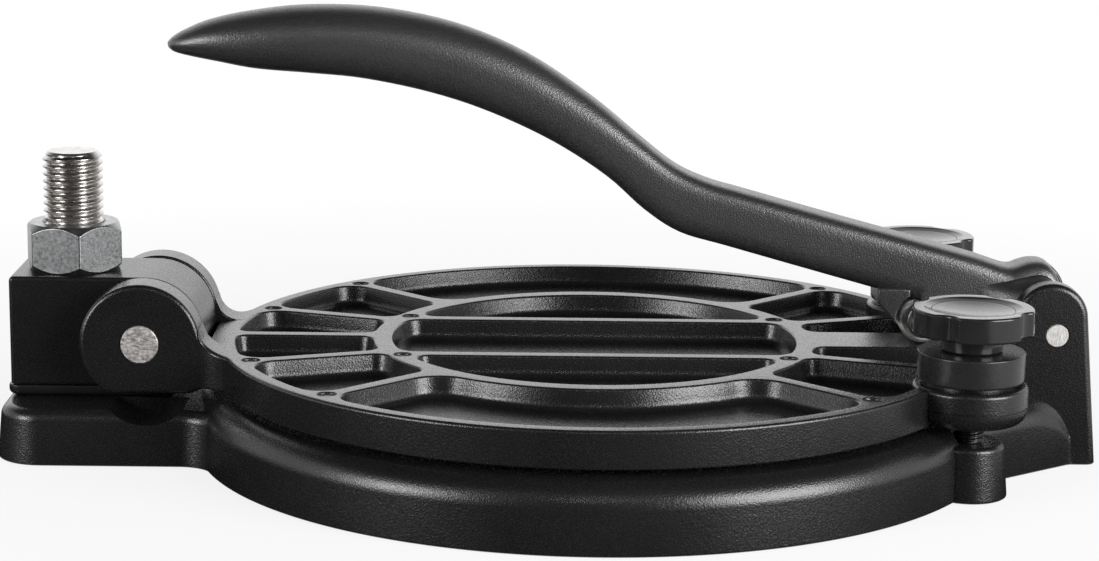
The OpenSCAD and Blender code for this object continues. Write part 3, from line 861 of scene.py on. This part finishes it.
def threaded(node, metal, body, slot, at, radius, pitch, low, high, chamfer):
    """A threaded rod made by the screw thread tree, with its top chamfered."""
    length, rows_a_turn = high - low, 16
    piece = placed(node, bpy.data.meshes.new(node))
    step = piece.modifiers.new("thread", "NODES")
    step.node_group = THREAD
    values = {"Radius": radius * MM, "Pitch": pitch * MM, "Depth": pitch * THREAD_DEPTH * MM,
              "Length": length * MM, "Chamfer": chamfer * MM, "Rows": round(length / pitch * rows_a_turn),
              "Place": (at[0] * MM, at[1] * MM, (low + high) / 2 * MM), "Metal": metal}
    for key, value in values.items():
        step[THREAD_INPUT[key]] = value
    return dress(smooth(baked(piece), f"{node}_thread", 28), metal, body, slot, node)


THREAD, THREAD_INPUT = thread_tree()


def pin(node, r, end, at, metal, body, chamfer=0.4):
    """A plain pin across the press, from -end to end."""
    bar = rod("pin", r, -end, end, at, chamfer=chamfer)
    return dress(smooth(bar, f"{node}_bar"), metal, body, "bright_steel", node)


def hinge_hardware():
    """The stud with its two nuts, the hinge pin and the lever's pin."""
    foot = 1.0
    threaded("hinge_stud", THREAD_STEEL, "base", "bright_steel", STUD_AT,
             STUD_R, pitch=2.5, low=foot, high=STUD_TOP, chamfer=1.9)
    nut("stud_nut", "upper_nut", z=BLOCK_TOP, height=16.0, turn=-75)
    nut("stud_lock_nut", "base", z=foot, height=10.0, turn=0)
    pin("hinge_pin", HINGE_PIN_R, EAR_OUT - 0.12, HINGE_AT, CUT_STEEL, "upper_plate", chamfer=0.45)
    pin("lever_pin", LEVER_PIN_R, 25.3, PIVOT_AT, PIN_STEEL, "base")


# ---- Lever ----

# Each row: top x, z; underside x, z; half width; squareness of the top and of the underside
LEVER_ROWS = [
    (-143.9, 136.1, -143.7, 134.2, 1.3, 2.0, 2.0),
    (-142.2, 137.9, -141.4, 132.7, 4.8, 2.0, 2.0),
    (-138, 140.4, -136, 131.4, 8.0, 2.0, 2.1),
    (-130, 143.7, -127, 129.8, 10.9, 2.1, 2.3),
    (-117, 146.7, -114, 127.6, 13.0, 2.1, 2.4),
    (-98, 149.0, -96, 126.4, 14.2, 2.2, 2.6),
    (-74, 148.5, -78, 124.8, 14.2, 2.2, 2.7),
    (-48, 143.6, -56, 120.4, 13.2, 2.2, 2.8),
    (-24, 133.8, -36, 114.0, 11.9, 2.3, 3.0),
    (-2, 119.4, -15, 104.4, 10.8, 2.6, 3.2),
    (14, 106.3, 3, 93.0, 10.2, 3.2, 3.4),
    (26, 97.0, 16, 81.7, 10.0, 3.6, 3.6),
    (37, 91.8, 28, 74.1, 10.0, 4.0, 3.6),
    (50, 88.1, 44, 69.5, 10.0, 4.2, 3.6),
    (78, 80.4, 73, 61.5, 10.0, 4.2, 3.8),
    (104, 73.5, 99, 54.4, 10.0, 4.2, 4.0),
    (122, 68.7, 118, 49.4, 10.0, 4.2, 5.0),
    (129, 66.8, 128, 46.4, 10.0, 4.0, 6.0),
    (134, 65.2, 133.5, 45.0, 10.0, 3.8, 6.0),
    (138, 63.9, 138, 44.0, 10.0, 3.8, 6.0),
    (141, 63.6, 141, 43.0, 10.0, 3.8, 6.0),
    (144, 64.6, 144, 42.0, 10.0, 4.0, 6.0),
    (147, 65.5, 147, 41.0, 10.0, 4.0, 6.0),
    (151, 65.5, 151, 40.0, 10.0, 4.0, 6.0),
    (154, 63.9, 154, 40.0, 10.0, 4.0, 6.0),
    (156.5, 60.0, 156.5, 41.0, 10.0, 4.0, 6.0),
    (157.6, 55.0, 157.6, 42.0, 10.0, 4.0, 6.0),
]
# The same, for the web that the bar flares into between the pedestal's ears
HUB_ROWS = [
    (126, 62.0, 126, 47.5, 9.3, 2.6, 5.0),
    (130, 61.6, 130, 46.2, 10.3, 2.6, 5.0),
    (134, 61.0, 134, 44.6, 12.2, 2.6, 5.0),
    (139, 60.6, 139, 42.5, 15.0, 2.8, 5.0),
    (144, 61.6, 144, 39.5, 16.9, 2.8, 5.0),
    (149, 62.6, 149, 37.0, 17.5, 2.8, 5.0),
    (153, 61.6, 153, 36.0, 17.5, 2.8, 5.0),
    (156, 58.0, 156, 37.0, 17.5, 2.8, 5.0),
    (157.5, 53.0, 157.5, 39.0, 17.5, 2.8, 5.0),
]


def through_rows(rows, steps):
    """A smooth curve through rows of numbers."""
    rows = np.array(rows, float)
    out = []
    for i in range(len(rows) - 1):
        a, b, c, d = rows[max(i - 1, 0)], rows[i], rows[i + 1], rows[min(i + 2, len(rows) - 1)]
        for t in np.arange(steps) / steps:
            out.append(b + t * (c - a) / 2 + t ** 2 * (2 * a - 5 * b + 4 * c - d) / 2
                       + t ** 3 * (3 * b - a - 3 * c + d) / 2)
    return out + [rows[-1]]


def lever_section(row, steps=56):
    """A cross-section: a superellipse whose upper and lower halves differ."""
    tx, tz, ux, uz, half, square_top, square_under = row
    top, under = np.array((tx, tz)), np.array((ux, uz))
    middle = under + (top - under) * 0.5
    out = []
    for a in np.linspace(0, math.tau, steps, endpoint=False):
        c, s = math.cos(a), math.sin(a)
        power = 2 / (square_top if s >= 0 else square_under)
        side = math.copysign(abs(c) ** power, c) * half
        lift = math.copysign(abs(s) ** power, s)
        x, z = middle + (top - under) * 0.5 * lift
        out.append((x, side, z))
    return out


def lever():
    """The lever's bar, hub and web, with the fork and the heel that hold the roller."""
    body = loft("lever", [lever_section(row) for row in through_rows(LEVER_ROWS, 5)])
    web = loft("hub web", [lever_section(row, 48) for row in through_rows(HUB_ROWS, 4)])
    hub_r, hub_half = 12, 17.5
    hub = turned("hub", rectangle(0, hub_r, hub_half), [0, 1.2, 1.2, 0], PIVOT_AT, axis="y")
    room_r, fork_r, fork_in, fork_out = 9.7, 6.2, 6.3, 9.9
    outline = arc(*ROLLER_AT, fork_r, 105, 330, 36) + [(127, 48.2), (127, 57), (109.5, 57)]
    fork = slab("fork", outline, fork_in, fork_out, 0.5, 1.0)
    outline = [(95.2, 56.5), (95.2, 51.6)] + arc(*ROLLER_AT, room_r, 188, 122, 12) + [(106.3, 56.5)]
    heel = slab("heel", outline, -fork_out, fork_out, 0.9, 0.9)
    merged(body, [web, hub, fork, mirrored(fork), heel])
    room = rod("roller room", room_r, -fork_in, fork_in, ROLLER_AT, steps=96)
    pivot_bore = rod("pivot bore", LEVER_PIN_R + 0.06, -ACROSS, ACROSS, PIVOT_AT)
    roller_bore = rod("roller bore", ROLLER_PIN_R + 0.02, -ACROSS, ACROSS, ROLLER_AT)
    cut(body, [room, pivot_bore, roller_bore])
    return dress(smooth(body, "lever_casting"), LEVER_COAT, "lever", "lever_black", "lever")


def roller():
    """The roller and its pin."""
    bore, half = ROLLER_PIN_R + 0.05, 6
    wheel = turned("roller", rectangle(bore, ROLLER_R, half), [0.3, 1.5, 1.5, 0.3], ROLLER_AT, axis="y")
    dress(smooth(wheel, "roller_wheel"), ROLLER_STEEL, "roller", "bright_steel", "roller")
    pin("roller_pin", ROLLER_PIN_R, 9.9, ROLLER_AT, PIN_STEEL, "lever")


# ---- Knobs ----


def knob_outline():
    """A round grip with shallow finger notches whose shoulders are eased."""
    out = []
    reach = KNOB_R + NOTCH_R - NOTCH_DEPTH
    ease = 0.5
    for a in np.linspace(0, 360, 240, endpoint=False):
        off = (a - LOBE_ANGLE) % (360 / NOTCHES) - 180 / NOTCHES
        across = reach * math.sin(math.radians(off))
        r = KNOB_R
        if abs(across) < NOTCH_R:
            notch = reach * math.cos(math.radians(off)) - math.sqrt(NOTCH_R ** 2 - across ** 2)
            mix = max(0.0, min(1.0, 0.5 + (KNOB_R - notch) / (2 * ease)))
            r = KNOB_R + (notch - KNOB_R) * mix - ease * mix * (1 - mix)
        out.append((r * math.cos(math.radians(a)), r * math.sin(math.radians(a))))
    return out


def knob_set(side, y):
    """A knob with its cap, its lock ring and its spindle."""
    at, bore = (KNOB_X, y), SPINDLE_R + 0.06
    outline = [(x + at[0], v + at[1]) for x, v in knob_outline()]

    def rings(levels):
        return [lifted(circle(*at, r, len(outline)), z) for r, z in levels]

    neck = [(bore, NECK_Z + 9.5), (bore, NECK_Z), (9.2, NECK_Z), (9.8, NECK_Z + 0.6), (10, KNOB_Z)]
    sides = [lifted(inset(outline, by), z) for by, z in eased_levels(KNOB_Z, KNOB_TOP, 0.9, 0.8, 6)]
    bowl_r, cap_r = 13.35, 13.25
    bowl = [(15.9, KNOB_TOP), (15.4, KNOB_TOP - 0.15), (15.0, KNOB_TOP - 0.4), (bowl_r, KNOB_TOP - 0.85),
            (bowl_r, KNOB_TOP - 2.9)]
    grip = loft("grip", rings(neck) + sides + rings(bowl))
    dress(smooth(grip, f"knob_{side}_grip"), KNOB_PLASTIC, f"knob_{side}", "knob_black", f"knob_{side}")
    rim, thick, dish, top = 0.15, 1.9, 1.3, KNOB_TOP - 0.88
    dish_r = cap_r - rim
    profile = [(0, top - thick), (cap_r, top - thick)]
    profile += [(cap_r - rim * (1 - c), top - rim * (1 - s)) for s, c in quarter(5)]
    profile += [(r, top - dish * (1 - (r / dish_r) ** 2)) for r in np.linspace(dish_r, 0, 14)[1:]]
    cap = smooth(lathe("cap", profile, at), f"knob_cap_{side}_disc")
    dress(cap, CAP_PLASTIC, f"knob_{side}", "cap_black", f"knob_cap_{side}")
    ring_r, ring_top = 17.0, NECK_Z - 0.1
    corners = [(bore, RING_Z), (ring_r, RING_Z), (ring_r + 0.2, ring_top), (bore, ring_top)]
    ring = smooth(turned("ring", corners, [0.3, 0.9, 0.5, 0.3], at, 128), f"lock_ring_{side}_disc")
    dress(ring, RING_PLASTIC, f"lock_ring_{side}", "ring_black", f"lock_ring_{side}")
    threaded(f"spindle_{side}", SPINDLE_STEEL, f"spindle_{side}", "zinc_steel", at,
             SPINDLE_R, pitch=1.5, low=STOP_H + 0.1, high=NECK_Z + 9.2, chamfer=1.2)


# ---- Stage ----


def camera():
    azimuth, elevation, roll = math.radians(-0.44), math.radians(11.6), math.radians(0.72)
    distance, aim = 929.36, Vector((-15.49, 0, 56.05))
    level = math.cos(elevation)
    back = Vector((math.sin(azimuth) * level, -math.cos(azimuth) * level, math.sin(elevation)))
    right = (-back).cross(Vector((0, 0, 1))).normalized()
    up = right.cross(-back)
    side = right * math.cos(roll) + up * math.sin(roll)
    rise = -right * math.sin(roll) + up * math.cos(roll)
    lens = bpy.data.cameras.new("camera")
    lens.lens, lens.sensor_width = 89.5, 36.0
    lens.clip_start, lens.clip_end = 0.01, 20
    eye = placed("camera", lens)
    turn = Matrix((side, rise, back)).transposed().to_4x4()
    eye.matrix_world = Matrix.Translation((aim + back * distance) * MM) @ turn
    bpy.context.scene.camera = eye


def lamp(name, place, aim, size, watts):
    """A rectangular lamp that the camera doesn't see."""
    light = bpy.data.lights.new(name, "AREA")
    light.shape = "RECTANGLE"
    light.size, light.size_y = size
    light.energy = watts
    holder = placed(name, light)
    holder.location = place
    holder.visible_camera = False
    holder.rotation_euler = (Vector(aim) - Vector(place)).to_track_quat("-Z", "Y").to_euler()


def mixed(name, first, second, share):
    """A mix of two shaders, each (kind, grey), by a share that a function of the tree gives."""
    material = bpy.data.materials.new(name)
    material.use_nodes = True
    tree = material.node_tree
    tree.nodes.clear()
    inputs = {0: share(tree)}
    for i, (kind, grey) in enumerate((first, second), 1):
        inputs[i] = add_node(tree, kind, {"Color": (grey, grey, grey, 1)}).outputs[0]
    mix = add_node(tree, "ShaderNodeMixShader", inputs)
    add_node(tree, "ShaderNodeOutputMaterial", {"Surface": mix.outputs[0]})
    return material


def gloss_rays(tree):
    """One for gloss rays, and nought for all others."""
    return add_node(tree, "ShaderNodeLightPath").outputs["Is Glossy Ray"]


def seen_rays(tree):
    """One for camera, gloss and glass rays, and nought for the light that falls on things."""
    path = add_node(tree, "ShaderNodeLightPath").outputs
    either = math_node(tree, "MAXIMUM", path["Is Camera Ray"], path["Is Glossy Ray"])
    return math_node(tree, "MAXIMUM", either, path["Is Transmission Ray"])


def floor_share(tree):
    """How white the floor looks: wholly so far from the press, and mostly where shadows fall."""
    place = add_node(tree, "ShaderNodeTexCoord").outputs["Object"]
    reach = add_node(tree, "ShaderNodeVectorMath", {0: place}, operation="LENGTH").outputs["Value"]
    return math_node(tree, "MULTIPLY", map_range(tree, reach, 0.82, 1.0, 0.2, 0.5), seen_rays(tree))


def dark_card(name, place, facing, size):
    """A black card that only gloss and metal see, so it darkens what they reflect."""
    bpy.ops.mesh.primitive_plane_add(size=1, location=place)
    card = bpy.context.object
    card.name = name
    card.scale = (*size, 1)
    card.rotation_euler = Vector(facing).to_track_quat("Z", "Y").to_euler()
    clear, felt = ("ShaderNodeBsdfTransparent", 1), ("ShaderNodeBsdfDiffuse", 0.01)
    card.data.materials.append(mixed(name, clear, felt, gloss_rays))


def stage():
    """The floor, the white world, the lamps and the dark cards, all in metres."""
    bpy.ops.mesh.primitive_plane_add(size=12, location=(0, 0, -0.0002))
    floor = bpy.context.object
    floor.name = "floor"
    pale, white = ("ShaderNodeBsdfDiffuse", 0.86), ("ShaderNodeEmission", 1)
    floor.data.materials.append(mixed("pale floor", pale, white, floor_share))
    world = bpy.data.worlds.new("studio")
    bpy.context.scene.world = world
    world.use_nodes = True
    tree = world.node_tree
    back = tree.nodes["Background"]
    back.inputs["Color"].default_value = (1, 1, 1, 1)
    fill = 0.25
    tree.links.new(math_node(tree, "MAXIMUM", seen_rays(tree), fill), back.inputs["Strength"])
    lamp("left softbox", place=(-1.15, -0.8, 0.4), aim=(0, 0, 0.05), size=(0.55, 0.6), watts=12)
    lamp("right softbox", place=(0.87, -0.72, 0.36), aim=(0.06, 0, 0.03), size=(0.75, 0.62), watts=18.5)
    lamp("front spot", place=(0.0, -1.3, 0.8), aim=(0, 0, 0.03), size=(0.14, 0.1), watts=0.7)
    lamp("back softbox", place=(0, 1.7, 0.6), aim=(0, 0, 0.05), size=(2.8, 0.8), watts=5)
    dark_card("front card", place=(0, -1.7, 0.9), facing=(0, 1, 0), size=(2.2, 1.8))
    dark_card("floor card", place=(-0.6425, -0.72, 0.0004), facing=(0, 0, 1), size=(1.715, 1.96))
    dark_card("top card", place=(0, 0.0, 1.5), facing=(0, 0, -1), size=(4.6, 2.6))
    bpy.context.scene.view_settings.view_transform = "Standard"


camera()
base_casting()
upper_plate()
hinge_block()
spacer_plate()
hinge_hardware()
lever()
roller()
knob_set("front", -KNOB_Y)
knob_set("rear", KNOB_Y)
stage()
